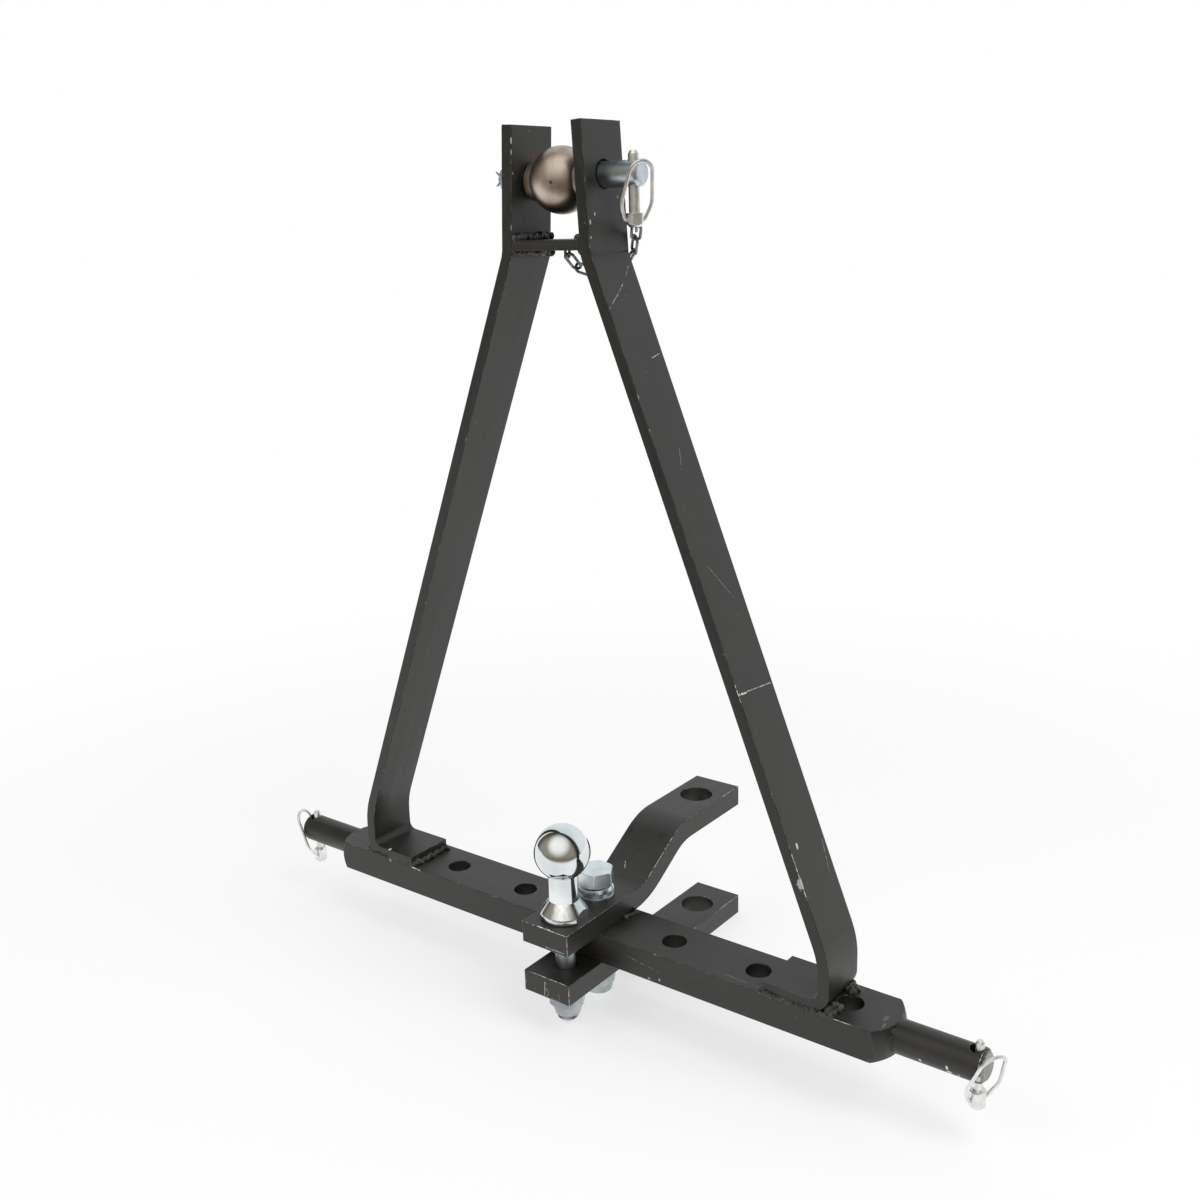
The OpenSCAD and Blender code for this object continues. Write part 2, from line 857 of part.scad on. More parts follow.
// Lock nut below the lower strap: hexagon and tapered collar
module lock_nut(y, d) {
    color(zinc)
        translate([bar_hole_shift, y, nut_end])
            difference() {
                union() {
                    translate([0, 0, collar_h])
                        hexagon(nut_h);
                    cylinder(h = collar_h, r1 = d / 2 + 2, r2 = hex_af / 2 - 1);
                }
                translate([0, 0, -1])
                    cylinder(h = nut_h + collar_h + 2, d = d + 2 * thread_gap);
            }
}

module ball_nut_washer() {
    washer(-ball_hole_y, nut_z, tow_shank_d + 1);
}

module tow_ball_nut() {
    lock_nut(-ball_hole_y, tow_shank_d);
}

module hitch_bolt() {
    color(zinc)
        translate([bar_hole_shift, 0, 0]) {
            translate([0, 0, head_z])
                hexagon(head_h);
            translate([0, 0, nut_end])
                cylinder(h = head_z - nut_end, d = bolt_d);
        }
}

// Split washer: a square wire wound through almost one turn, rising by its own thickness
module split_washer() {
    steps = 40;
    sweep = 348;
    inner = bolt_d / 2 + 0.6;
    outer = washer_d / 2;
    points = [
        for (i = [0:steps])
            let (a = 20 + sweep * i / steps, z = split_t * i / steps)
                each [
                    [inner * cos(a), inner * sin(a), z],
                    [outer * cos(a), outer * sin(a), z],
                    [outer * cos(a), outer * sin(a), z + split_t],
                    [inner * cos(a), inner * sin(a), z + split_t]
                ]
    ];
    sides = [
        for (i = [0:steps - 1])
            for (k = [0:3])
                let (a = 4 * i + k, b = 4 * i + (k + 1) % 4)
                    each [[a, a + 4, b], [b, a + 4, b + 4]]
    ];
    last = 4 * steps;
    color(zinc)
        translate([bar_hole_shift, 0, seat + washer_t])
            polyhedron(
                points,
                concat(sides, [[0, 1, 2, 3], [last + 3, last + 2, last + 1, last]])
            );
}

module upper_flat_washer() {
    washer(0, seat, bolt_d + 1);
}

module lower_flat_washer() {
    washer(0, nut_z, bolt_d + 1);
}

module hitch_nut() {
    lock_nut(0, bolt_d);
}

cross_bar();
left_upright();
right_upright();
spacer_plate();
left_foot_welds();
right_foot_welds();
spacer_welds();
chain_staple();
top_link_pin();
top_pin_washer();
top_pin_cotter();
top_link_ball();
top_linch_pin();
top_linch_ring();
chain_link_1();
chain_link_2();
chain_link_3();
chain_link_4();
chain_link_5();
chain_link_6();
chain_link_7();
chain_link_8();
upper_strap();
lower_strap();
tow_ball();
ball_nut_washer();
tow_ball_nut();
hitch_bolt();
split_washer();
upper_flat_washer();
lower_flat_washer();
hitch_nut();
left_linch_pin();
left_linch_ring();
right_linch_pin();
right_linch_ring();
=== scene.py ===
import json
import math
import random

import bmesh
import bpy
from mathutils import Euler, Matrix, Vector

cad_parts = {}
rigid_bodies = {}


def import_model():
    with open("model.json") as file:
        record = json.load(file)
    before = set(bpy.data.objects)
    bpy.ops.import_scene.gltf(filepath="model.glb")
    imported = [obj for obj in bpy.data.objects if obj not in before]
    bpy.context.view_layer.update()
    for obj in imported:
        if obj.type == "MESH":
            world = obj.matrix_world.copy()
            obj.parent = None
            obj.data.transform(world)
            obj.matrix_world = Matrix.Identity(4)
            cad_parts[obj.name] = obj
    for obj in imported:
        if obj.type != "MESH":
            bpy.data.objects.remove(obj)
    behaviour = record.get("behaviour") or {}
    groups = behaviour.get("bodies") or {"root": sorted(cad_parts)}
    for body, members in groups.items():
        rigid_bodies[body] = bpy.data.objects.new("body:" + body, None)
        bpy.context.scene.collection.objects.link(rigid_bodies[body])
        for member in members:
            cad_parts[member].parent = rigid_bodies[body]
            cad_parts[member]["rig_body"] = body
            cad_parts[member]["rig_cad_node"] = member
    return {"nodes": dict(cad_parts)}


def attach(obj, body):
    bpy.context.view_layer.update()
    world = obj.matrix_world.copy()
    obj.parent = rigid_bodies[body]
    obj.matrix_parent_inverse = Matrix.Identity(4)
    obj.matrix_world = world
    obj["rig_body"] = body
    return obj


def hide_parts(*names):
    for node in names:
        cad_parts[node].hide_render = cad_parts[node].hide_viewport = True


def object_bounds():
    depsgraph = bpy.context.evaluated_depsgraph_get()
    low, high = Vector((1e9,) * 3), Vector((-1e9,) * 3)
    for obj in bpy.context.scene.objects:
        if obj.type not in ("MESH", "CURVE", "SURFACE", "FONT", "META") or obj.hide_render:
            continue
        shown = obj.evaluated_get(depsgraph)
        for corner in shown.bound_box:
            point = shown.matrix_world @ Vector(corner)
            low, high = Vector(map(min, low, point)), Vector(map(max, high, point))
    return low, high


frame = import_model()
cad_low, cad_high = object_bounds()
nodes = frame["nodes"]

# Cross bar: one piece of 56 x 28 mm flat steel with seven drilled holes, its two ends turned down
# to a rounded shoulder and a link pin. Satin black paint, brushed on lengthwise, thin along the
# rolled edges, and chipped to bare metal on the front of the right pin.
MM = 0.001
BAR_ROLL = 0.8 * MM
LINK_PIN_R = 14 * MM
RELIEVED_R = 13.8 * MM
RELIEF_FROM = 330 * MM
MERGE = 0.03 * MM
IN_ONE_PLANE = math.radians(0.5)
SHARP = math.radians(35)
SMOOTH = math.radians(28)
PAINT_DARK = "#1b1a18"
PAINT_GREY = "#2d2c29"
PAINT_THIN = "#6f6d67"
BARE = "#d4d3cd"


def colour(text):
    """A colour written as in a paint program, for a shader."""
    parts = [int(text[i:i + 2], 16) / 255 for i in (1, 3, 5)]
    return tuple(p / 12.92 if p <= 0.04045 else ((p + 0.055) / 1.055) ** 2.4 for p in parts) + (1.0,)


class Reading:
    """A value that varies over a surface. Arithmetic on readings adds Math nodes."""

    def __init__(self, finish, socket):
        self.finish = finish
        self.socket = socket

    def math(self, operation, *others, clamp=False):
        """A Math node with this reading as its first value."""
        values = {0: self, **dict(enumerate(others, 1))}
        return self.finish.node("ShaderNodeMath", {"operation": operation, "use_clamp": clamp}, values)[0]

    def __add__(self, other):
        return self.math("ADD", other)

    def __sub__(self, other):
        return self.math("SUBTRACT", other)

    def __rsub__(self, other):
        return (self * -1).math("ADD", other)

    def __mul__(self, other):
        return self.math("MULTIPLY", other)

    def limited(self):
        """This reading, kept between 0 and 1."""
        return self.math("ADD", 0.0, clamp=True)

    def most(self, other):
        """The larger of two readings."""
        return self.math("MAXIMUM", other)

    def step(self, low, high):
        """0 at low and 1 at high, smooth between; low may be the larger of the two."""
        return self.finish.node(
            "ShaderNodeMapRange",
            {"interpolation_type": "SMOOTHSTEP"},
            {"Value": self, "From Min": low, "From Max": high},
        )[0]


class Outputs:
    """The outputs of a node, by name or number, as readings."""

    def __init__(self, finish, made):
        self.finish = finish
        self.made = made

    def __getitem__(self, name):
        if isinstance(name, str):
            name = next(i for i, o in enumerate(self.made.outputs) if o.name == name and o.enabled)
        return Reading(self.finish, self.made.outputs[name])


class Finish:
    """A material and the nodes that make it."""

    def __init__(self, name):
        self.material = bpy.data.materials.new(name)
        self.material.use_nodes = True
        self.start(self.material.node_tree, "Object")

    def start(self, tree, coordinates):
        """Empties a node tree and reads its places in those coordinates."""
        self.tree = tree
        self.tree.nodes.clear()
        self.place = self.node("ShaderNodeTexCoord")[coordinates]

    def node(self, kind, settings=None, sockets=None):
        """A node of that type, with its settings, then the values or links of its sockets."""
        made = self.tree.nodes.new(kind)
        for name, value in (settings or {}).items():
            setattr(made, name, value)
        for name, value in (sockets or {}).items():
            if isinstance(value, Reading):
                self.tree.links.new(value.socket, made.inputs[name])
            else:
                made.inputs[name].default_value = value
        return Outputs(self, made)

    def vector(self, operation, first, second, output=0):
        return self.node("ShaderNodeVectorMath", {"operation": operation}, {0: first, 1: second})[output]

    def stretched(self, scale, turn=(0, 0, 0)):
        """Places turned and then scaled, for a pattern that runs along a piece."""
        turned = self.node("ShaderNodeMapping", None, {"Vector": self.place, "Rotation": turn})[0]
        return self.vector("MULTIPLY", turned, scale)

    def noise(self, scale, detail=3.0, roughness=0.55, place=None):
        return self.node(
            "ShaderNodeTexNoise", None,
            {"Vector": place or self.place, "Scale": scale, "Detail": detail, "Roughness": roughness},
        )[0]

    def grains(self, scale, size):
        """Small round grains, 1 at their middles."""
        cells = self.node("ShaderNodeTexVoronoi", None, {"Vector": self.place, "Scale": scale})
        return cells["Distance"].step(size, size * 0.5)

    def near(self, centre, reach):
        """1 at a place in millimetres and 0 beyond a reach along each axis, with a ragged rim."""
        moved = self.vector("SUBTRACT", self.place, Vector(centre) * MM)
        share = self.vector("DIVIDE", moved, Vector(reach) * MM)
        size = self.vector("LENGTH", share, (0, 0, 0), "Value")
        return (size + self.noise(650.0, 4.0, 0.7) * 1.3 - 0.65).step(1.0, 0.8)

    def scratch(self, start, end, width):
        """1 on a line between two places in millimetres, broken and wavering."""
        start, end = Vector(start) * MM, Vector(end) * MM
        run = end - start
        moved = self.vector("SUBTRACT", self.place, start)
        share = self.vector("DOT_PRODUCT", moved, run / run.length_squared, "Value").limited()
        foot = self.node("ShaderNodeVectorMath", {"operation": "SCALE"}, {0: tuple(run), "Scale": share})[0]
        aside = self.vector("DISTANCE", moved, foot, "Value")
        wavering = aside + self.noise(260.0, 3.0, 0.6) * (1.6 * MM) - 0.8 * MM
        line = wavering.math("ABSOLUTE").step(width * MM, width * 0.4 * MM)
        return line * self.noise(420.0).step(0.34, 0.46)

    def mix(self, amount, first, second):
        """The first colour at 0 and the second at 1."""
        values = {"Factor": amount, "A": first, "B": second}
        return self.node("ShaderNodeMix", {"data_type": "RGBA"}, values)["Result"]

    def bump(self, height, strength, distance=0.2 * MM):
        values = {"Height": height, "Strength": strength, "Distance": distance}
        return self.node("ShaderNodeBump", None, values)[0]

    def surface(self, tint, **sockets):
        """The shader itself; sockets are written with _ for a space."""
        named = {name.replace("_", " "): value for name, value in sockets.items()}
        shader = self.node("ShaderNodeBsdfPrincipled", None, {"Base Color": tint, **named})
        self.node("ShaderNodeOutputMaterial", None, {"Surface": shader[0]})
        return self.material


def lines_along(axis, fine, long):
    """Noise scales that draw lines along an axis: fine across them, long on their way."""
    scales = [fine, fine, fine]
    scales["XYZ".index(axis)] = long
    return scales


def black_paint(name, along, turn=0.0, chips=(), scratches=(), rubbed=()):
    """Satin black paint with brush lines along an axis, thin on the edges, with its own marks.

    A chip is (place, reach, amount), a scratch (start, end, width, amount), in millimetres.
    Around a rubbed place (place, reach) the edges are worn to bare steel. turn leans the brush
    lines about Y.
    """
    f = Finish(name)
    strokes = f.noise(1.0, 3.0, 0.65, f.stretched(lines_along(along, 760.0, 9.0), (0, turn, 0)))
    sweeps = f.noise(1.0, 2.0, 0.5, f.stretched(lines_along(along, 95.0, 3.0), (0, turn, 0)))
    clouds = f.noise(17.0, 4.0, 0.6)
    grit = f.noise(1500.0, 2.0, 0.6)
    shade = (strokes * 0.35 + sweeps * 0.3 + clouds * 0.35).step(0.34, 0.66)
    tint = f.mix(shade, colour(PAINT_DARK), colour(PAINT_GREY))
    dust = f.grains(300.0, 0.11) * f.noise(38.0, 2.0).step(0.55, 0.66)

    edge = f.node("ShaderNodeAttribute", {"attribute_name": "edge"})[2].step(0.3, 0.85)
    patchy = f.noise(70.0, 4.0, 0.65)
    thin = edge * patchy.step(0.42, 0.62) * 0.55
    bare = edge * f.noise(300.0, 4.0, 0.65).step(0.56, 0.63) * patchy.step(0.52, 0.6) * 0.7
    for place, reach in rubbed:
        bare = bare.most(edge * f.near(place, reach) * f.noise(210.0, 4.0, 0.7).step(0.44, 0.53))
    for place, reach, amount in chips:
        bare = bare.most(f.near(place, reach) * amount)
    for start, end, width, amount in scratches:
        bare = bare.most(f.scratch(start, end, width) * amount)
    tint = f.mix(thin, tint, colour(PAINT_THIN))
    tint = f.mix(bare.most(dust * 0.45), tint, colour(BARE))
    height = strokes * 0.5 + clouds * 0.35 + grit * 0.25 - bare * 1.2
    return f.surface(
        tint,
        Roughness=(shade * 0.16 + strokes * 0.1 + 0.3 + bare * 0.15).limited(),
        Normal=f.bump(height, 0.22),
    )


def fitted(piece, finish, slot, body, *stands_for):
    """Gives a piece its finish and body, and hides the solids that it stands for. Its slot argument is not
    used.
    """
    piece.data.materials.clear()
    piece.data.materials.append(finish)
    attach(piece, body)
    if stands_for:
        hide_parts(*stands_for)


def rolled_copy(node, roll, straighten=None):
    """A copy of a solid, its outer edges rolled round. Its attribute edge is 1 along them.

    straighten, where it is given, moves each vertex before that.
    """
    bpy.ops.object.select_all(action="DESELECT")
    piece = nodes[node].copy()
    piece.data = nodes[node].data.copy()
    piece.name = node + "_finished"
    bpy.context.scene.collection.objects.link(piece)
    piece.parent = None
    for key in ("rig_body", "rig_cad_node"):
        if key in piece:
            del piece[key]
    # The bevel puts its faces in the second slot, so that they can be told from the rest.
    piece.data.materials.clear()
    piece.data.materials.append(None)
    piece.data.materials.append(None)
    for face in piece.data.polygons:
        face.material_index = 0
    if straighten:
        for vertex in piece.data.vertices:
            straighten(vertex)
    piece.select_set(True)
    bpy.context.view_layer.objects.active = piece
    bpy.ops.object.mode_set(mode="EDIT")
    bpy.ops.mesh.select_all(action="SELECT")
    bpy.ops.mesh.remove_doubles(threshold=MERGE)
    bpy.ops.mesh.dissolve_limited(angle_limit=IN_ONE_PLANE)
    bpy.ops.object.mode_set(mode="OBJECT")
    shell = bmesh.new()
    shell.from_mesh(piece.data)
    weight = shell.edges.layers.float.new("bevel_weight_edge")
    for line in shell.edges:
        outer = len(line.link_faces) == 2 and line.is_convex
        line[weight] = float(outer and line.calc_face_angle() > SHARP)
    shell.to_mesh(piece.data)
    shell.free()
    bevel = piece.modifiers.new("rolled_edges", "BEVEL")
    bevel.width = roll
    bevel.segments = 4
    bevel.limit_method = "WEIGHT"
    bevel.use_clamp_overlap = False
    bevel.material = 1
    bpy.ops.object.modifier_apply(modifier=bevel.name)
    beside = {v for face in piece.data.polygons if face.material_index == 0 for v in face.vertices}
    next_to = {v for line in piece.data.edges if beside & set(line.vertices) for v in line.vertices} - beside
    edge = piece.data.attributes.new("edge", "FLOAT", "POINT")
    for vertex in piece.data.vertices:
        rolled = 0.5 if vertex.index in next_to else 1.0
        edge.data[vertex.index].value = 0.0 if vertex.index in beside else rolled
    for face in piece.data.polygons:
        face.material_index = 0
    bpy.ops.object.shade_smooth_by_angle(angle=SMOOTH)
    weighted = piece.modifiers.new("weighted_normals", "WEIGHTED_NORMAL")
    weighted.keep_sharp = True
    bpy.ops.object.modifier_apply(modifier=weighted.name)
    return piece


bar_paint = black_paint(
    "paint_cross_bar", "X",
    chips=[
        ((330, -12.6, -6), (1.4, 2.2, 1.8), 0.8), ((352, -13.4, -3.5), (1.2, 2.0, 2.4), 1.0),
        ((353.3, -11.5, -8), (2.2, 2.2, 2.2), 1.0), ((361, -11.4, -8), (1.0, 1.4, 1.2), 0.8),
        ((376.5, -12.6, -5), (2.0, 3.0, 4.2), 1.0), ((382, 0, 0), (6, 22, 22), 0.42),
        ((86, -28, -11.6), (1.5, 2, 1.4), 0.4), ((97, -28, -9.4), (1.2, 2, 1.8), 0.5),
        ((297, -4, 13.4), (2.2, 5, 2), 0.08), ((300, -14, 13.4), (1.2, 4, 2), 0.1),
        ((-229, -28, 13), (1.4, 2, 2.4), 0.4),
    ],
    scratches=[
        ((-199, -28, 13.8), (-188, -28, 13), 0.7, 1.0), ((250, -28, 13.8), (262, -28, 13.6), 0.3, 0.6),
        ((294, -27, -6), (294, -27.5, -14), 0.6, 0.7),
        ((60, -28, 3), (96, -28, -2), 0.25, 0.3), ((150, -20, 14), (215, -24, 14), 0.25, 0.25),
    ],
    rubbed=[((262, -28, 14), (16, 6, 6)), ((378, 0, 0), (8, 16, 16)), ((-378, 0, 0), (8, 16, 16))],
)


def full_pin(vertex):
    """The link pins are drawn at one diameter: their relief is too fine to see."""
    out = math.hypot(vertex.co.y, vertex.co.z)
    if abs(vertex.co.x) > RELIEF_FROM and abs(out - RELIEVED_R) < 0.05 * MM:
        vertex.co.yz = vertex.co.yz * LINK_PIN_R / out


bar = rolled_copy("cross_bar", BAR_ROLL, full_pin)
fitted(bar, bar_paint, "black_paint", "root", "cross_bar")

# Uprights: two 50 x 10 mm flat bars, each bent to a foot, a soft knee, a long leg and an upright
# ear with the hole for the top link pin. Black paint, with a few deep scratches on the right leg.
FLAT_ROLL = 0.6 * MM
LEAN = math.radians(21.65)

right_paint = black_paint(
    "paint_right_upright", "Z", LEAN,
    chips=[
        ((223.6, -17.8, 147.9), (1.6, 1.6, 3.4), 0.8), ((43, -18.8, 627.6), (1.5, 0.9, 1.3), 0.6),
        ((43.3, -25.1, 621.8), (1.5, 0.8, 2.2), 0.6), ((44, -25.7, 610.4), (1.5, 0.8, 1.0), 0.5),
        ((42.3, 12, 640), (1.5, 0.8, 1.0), 0.4), ((233, -27.6, 122), (4.0, 1.0, 6), 0.6),
    ],
    scratches=[
        ((48.8, 16, 588.8), (52.6, 5, 578), 0.3, 0.55), ((52.6, 5, 578), (55.6, -5, 571), 0.3, 0.5),
        ((55.6, -5, 571), (61.3, -28, 557), 0.3, 0.4), ((76.8, 5.7, 517.8), (75.7, 18.4, 520.4), 0.3, 0.55),
        ((176.2, -28, 267.2), (177.7, 19, 263.5), 0.45, 0.6),
        ((176.4, -28, 267), (177, -17, 265.8), 0.9, 0.95), ((174, -28, 273), (176.3, -28, 267.4), 0.6, 0.9),
        ((224.8, -28, 144.7), (237.7, -28, 112.3), 0.6, 0.8),
        ((225.4, 18.3, 143.3), (237.1, 13, 113.7), 0.3, 0.35), ((110, -4, 434), (104, 2, 449), 0.25, 0.3),
        ((150, 8, 333), (139, -12, 361), 0.25, 0.22),
    ],
    rubbed=[((231, -28, 128), (12, 5, 24)), ((176, -28, 268), (6, 5, 8))],
)
left_paint = black_paint(
    "paint_left_upright", "Z", -LEAN,
    chips=[
        ((-229.5, -26.5, 24), (1.4, 1.8, 1.5), 1.0), ((-29.8, -27.8, 684.2), (0.9, 0.8, 3.0), 0.55),
        ((-30.3, -27.8, 675.8), (0.8, 0.6, 2.0), 0.4), ((-31.4, -26, 660), (0.9, 0.8, 1.2), 0.35),
        ((-30, -6, 692), (1.0, 0.8, 0.8), 0.25), ((-33.4, -27.8, 619), (0.8, 0.6, 2.6), 0.35),
    ],
    scratches=[
        ((-193, -12, 205), (-150, 4, 314), 0.25, 0.22), ((-236, -20, 62), (-236, 14, 56), 0.3, 0.3),
    ],
)
fitted(rolled_copy("right_upright", FLAT_ROLL), right_paint, "black_paint", "root", "right_upright")
fitted(rolled_copy("left_upright", FLAT_ROLL), left_paint, "black_paint", "root", "left_upright")

# Spacer plate: an 8 mm steel plate, its sides cut to the lean of the ears. It is welded between
# them at the waist, and painted black with them.
PLATE_ROLL = 0.4 * MM

plate = rolled_copy("spacer_plate", PLATE_ROLL)
fitted(plate, black_paint("paint_spacer", "X"), "black_paint", "root", "spacer_plate")

# Welds: beads laid by hand under the paint, overlapping drops of metal at the feet and the ears,
# and one rough lump beside the upper strap. Painted over, with bright spatter.
WELD_DARK = "#191816"
WELD_GREY = "#3f3d39"
WELD_SCALE = "#5e5c57"
SPATTER = "#b9b4a8"
DROP_PITCH = 0.66
DROP_HEIGHT = 0.6
VOXEL = 0.42 * MM

dice = random.Random(7)


def weld_metal(name):
    """Lumpy metal under dark paint, with pale scale and bright spatter."""
    f = Finish(name)
    lumps = f.noise(330.0, 4.0, 0.6)
    scale = f.noise(60.0, 3.0)
    tint = f.mix(lumps.step(0.35, 0.7), colour(WELD_DARK), colour(WELD_GREY))
    tint = f.mix(scale.step(0.5, 0.68) * 0.5, tint, colour(WELD_SCALE))
    spatter = f.grains(260.0, 0.16) * f.noise(90.0, 2.0).step(0.52, 0.62)
    tint = f.mix(spatter * 0.7, tint, colour(SPATTER))
    return f.surface(
        tint, Roughness=(lumps * 0.25 + 0.28).limited(), Normal=f.bump(lumps + scale * 0.5, 0.4, 0.3 * MM)
    )


def weld_bead(name, rows):
    """Weld metal laid in drops along rows of (start, end, size of a drop), in millimetres."""
    bpy.ops.object.select_all(action="DESELECT")
    bpy.ops.mesh.primitive_ico_sphere_add(subdivisions=3, radius=1)
    drop = bpy.context.active_object
    drop.name = name
    copies = []
    for start, end, size in rows:
        start, end = Vector(start), Vector(end)
        along = (end - start).to_track_quat("Z", "Y").to_matrix().to_4x4()
        count = math.ceil((end - start).length / (DROP_PITCH * size))
        for i in range(count + 1):
            wander = Vector(dice.uniform(-0.3, 0.3) * size for _ in range(3))
            tilt = Euler([dice.uniform(-0.8, 0.8) for _ in range(3)]).to_matrix().to_4x4()
            fat = size * dice.uniform(0.75, 1.2)
            copy = drop.copy()
            copy.data = drop.data.copy()
            bpy.context.scene.collection.objects.link(copy)
            copy.matrix_world = (
                Matrix.Translation((start.lerp(end, i / count) + wander) * MM)
                @ along @ tilt @ Matrix.Diagonal((fat * MM, fat * MM, DROP_HEIGHT * fat * MM, 1))
            )
            copies.append(copy)
    bpy.data.objects.remove(drop)
    for copy in copies:
        copy.select_set(True)
    bpy.context.view_layer.objects.active = copies[0]
    bpy.ops.object.join()
    bead = bpy.context.active_object
    bead.name = name
    bpy.ops.object.transform_apply(location=True, rotation=True, scale=True)
    fuse = bead.modifiers.new("fuse", "REMESH")
    fuse.mode = "VOXEL"
    fuse.voxel_size = VOXEL
    bpy.ops.object.modifier_apply(modifier=fuse.name)
    flow = bead.modifiers.new("flow", "SMOOTH")
    flow.factor = 0.5
    flow.iterations = 3
    bpy.ops.object.modifier_apply(modifier=flow.name)
    bpy.ops.object.shade_smooth()
    return bead


weld = weld_metal("weld_metal")
right_rows = [
    ((197.6, -25.5, 15.8), (197.6, 20, 15.8), 3.5), ((199, -27.6, 14.6), (262, -27.6, 14.4), 2.1),
    ((200, -27, 16), (212, -27.6, 14.6), 2.8), ((259.5, -26.2, 15.4), (261.5, -12.5, 15.6), 3.2),
    ((256, -25, 17.5), (257, -12, 17.5), 3.2), ((259.5, 13, 15.6), (259.5, 21, 15.6), 3.4),
    ((256, 13, 17.5), (256, 21, 17.5), 3.2),
]
left_rows = [
    ((-197.6, -25.5, 15.8), (-197.6, 20, 15.8), 3.5), ((-262, -27.6, 14.4), (-233, -27.6, 14.6), 2.1),
    ((-259.5, -26, 15.6), (-260, -19, 15.6), 3.2), ((-256, -25, 17.5), (-256, -19, 17.5), 3.2),
    ((-259.5, 13, 15.6), (-259.5, 21, 15.6), 3.4), ((-256, 13, 17.5), (-256, 21, 17.5), 3.2),
    ((-204, -27.4, 15), (-199, -27, 15), 2.4),
]
spacer_rows = [((side * 32.6, -25.6, 611), (side * 32.6, 19.6, 611), 3.8) for side in (-1, 1)]
spacer_rows += [((side * 33.4, -25.4, 599.4), (side * 33.4, 19.6, 599.4), 3.2) for side in (-1, 1)]
lump_rows = [((35.4, 7, 14.6), (36.4, 25, 14.4), 2.4), ((36.5, 18, 14), (39, 24, 14), 1.9)]
fitted(weld_bead("right_foot_beads", right_rows), weld, "weld_metal", "root", "right_foot_welds")
fitted(weld_bead("left_foot_beads", left_rows), weld, "weld_metal", "root", "left_foot_welds")
fitted(weld_bead("spacer_beads", spacer_rows), weld, "weld_metal", "root", "spacer_welds")
fitted(weld_bead("strap_lump", lump_rows), weld, "weld_metal", "root")

# Straps: two 50 x 20 mm bars, one above and one below the cross bar, each stepped away from it
# behind the sharp crease, so that their rear holes make a jaw. Black paint, rubbed at the front.
STRAP_ROLL = 0.7 * MM

upper_paint = black_paint(
    "paint_upper_strap", "Y",
    chips=[((50, 100, 67), (3, 3, 2), 0.5)],
    scratches=[
        ((2.6, 54, 42.2), (6.1, 48.2, 38.8), 0.4, 0.6), ((1, -74.6, 34), (15, -74.4, 34), 0.8, 0.9),
        ((10, -75, 16.5), (30, -75, 16.5), 0.7, 0.5), ((34, -75, 33), (34, -75, 15), 0.5, 0.6),
        ((34, -74, 34), (34, 0, 34), 0.35, 0.35), ((34, 86, 62), (34, 66, 50), 0.45, 0.5),
        ((14, 100, 67.3), (31, 118, 70.5), 0.3, 0.2),
    ],
    rubbed=[((12, -75, 26), (30, 8, 16)), ((34, 70, 50), (6, 40, 30)), ((34, 190, 64), (6, 22, 12))],
)
lower_paint = black_paint(
    "paint_lower_strap", "Y",
    scratches=[
        ((7.4, -75, -19), (6.2, -75, -34), 0.45, 0.75), ((8.8, -75, -25.1), (11.5, -75, -29.2), 0.3, 0.6),
        ((11.5, -75, -29.2), (8.6, -75, -32.4), 0.3, 0.5), ((14, -75, -32.6), (29, -75, -33), 0.35, 0.45),
        ((34, -75, -15), (34, -75, -33), 0.5, 0.75), ((-15, -75, -19), (-14.5, -75, -27), 0.4, 0.4),
        ((34, 110, -50.5), (34, 130, -50.5), 0.5, 0.5), ((22, -75, -26), (24, -75, -31), 0.3, 0.4),
    ],
    rubbed=[((12, -75, -24), (30, 8, 16)), ((34, 190, -56), (6, 26, 12))],
)
fitted(rolled_copy("upper_strap", STRAP_ROLL), upper_paint, "black_paint", "root", "upper_strap")
fitted(rolled_copy("lower_strap", STRAP_ROLL), lower_paint, "black_paint", "root", "lower_strap")

# Tow ball: a 50 mm ball, turned with its neck, its flared base and its threaded stud from one
# bar, and plated. Ball and neck are polished, the flare with its two wrench flats keeps its tool
# marks and carries painted reflection as brownish vertical streaks in its colour, and the stud
# is dull.
TOW_X, TOW_Y = 9.0, -46.5
BALL_Z, BALL_R = 95.7, 25.0
NECK_R, NECK_TOP = 13.5, 73
SEAT = 34.0
STUD_R, STUD_ROOT_R = 9.5, 8.7
THREAD_FOOT, THREAD_PITCH, THREAD_TURNS = -65, 2, 15
FLARE_R = 21.5
FLATS = math.radians(7)
FLAT_OUT = 19.0
TURN_STEPS = 96
ARC_STEPS = 44
POLE = 89.4
SOFT = math.radians(32)


def turned(name, rings, hollow=False):
    """A turned piece, drawn up ring by ring about Z. A ring is (radius, height) in millimetres."""
    bpy.ops.object.select_all(action="DESELECT")
    radius, height = rings[0]
    fill = "NOTHING" if hollow else "NGON"
    bpy.ops.mesh.primitive_circle_add(
        vertices=TURN_STEPS, radius=radius * MM, fill_type=fill, location=(0, 0, height * MM)
    )
    piece = bpy.context.active_object
    piece.name = name
    bpy.ops.object.mode_set(mode="EDIT")
    bpy.ops.mesh.select_all(action="SELECT")
    for (before, low), (after, high) in zip(rings, rings[1:]):
        bpy.ops.mesh.extrude_region_move(TRANSFORM_OT_translate={"value": (0, 0, (high - low) * MM)})
        bpy.ops.transform.resize(value=(after / before, after / before, 1), center_override=(0, 0, high * MM))
    bpy.ops.mesh.select_all(action="SELECT")
    bpy.ops.mesh.remove_doubles(threshold=0.005 * MM)
    bpy.ops.mesh.normals_make_consistent(inside=False)
    bpy.ops.object.mode_set(mode="OBJECT")
    bpy.ops.object.transform_apply(location=True, rotation=True, scale=True)
    return piece


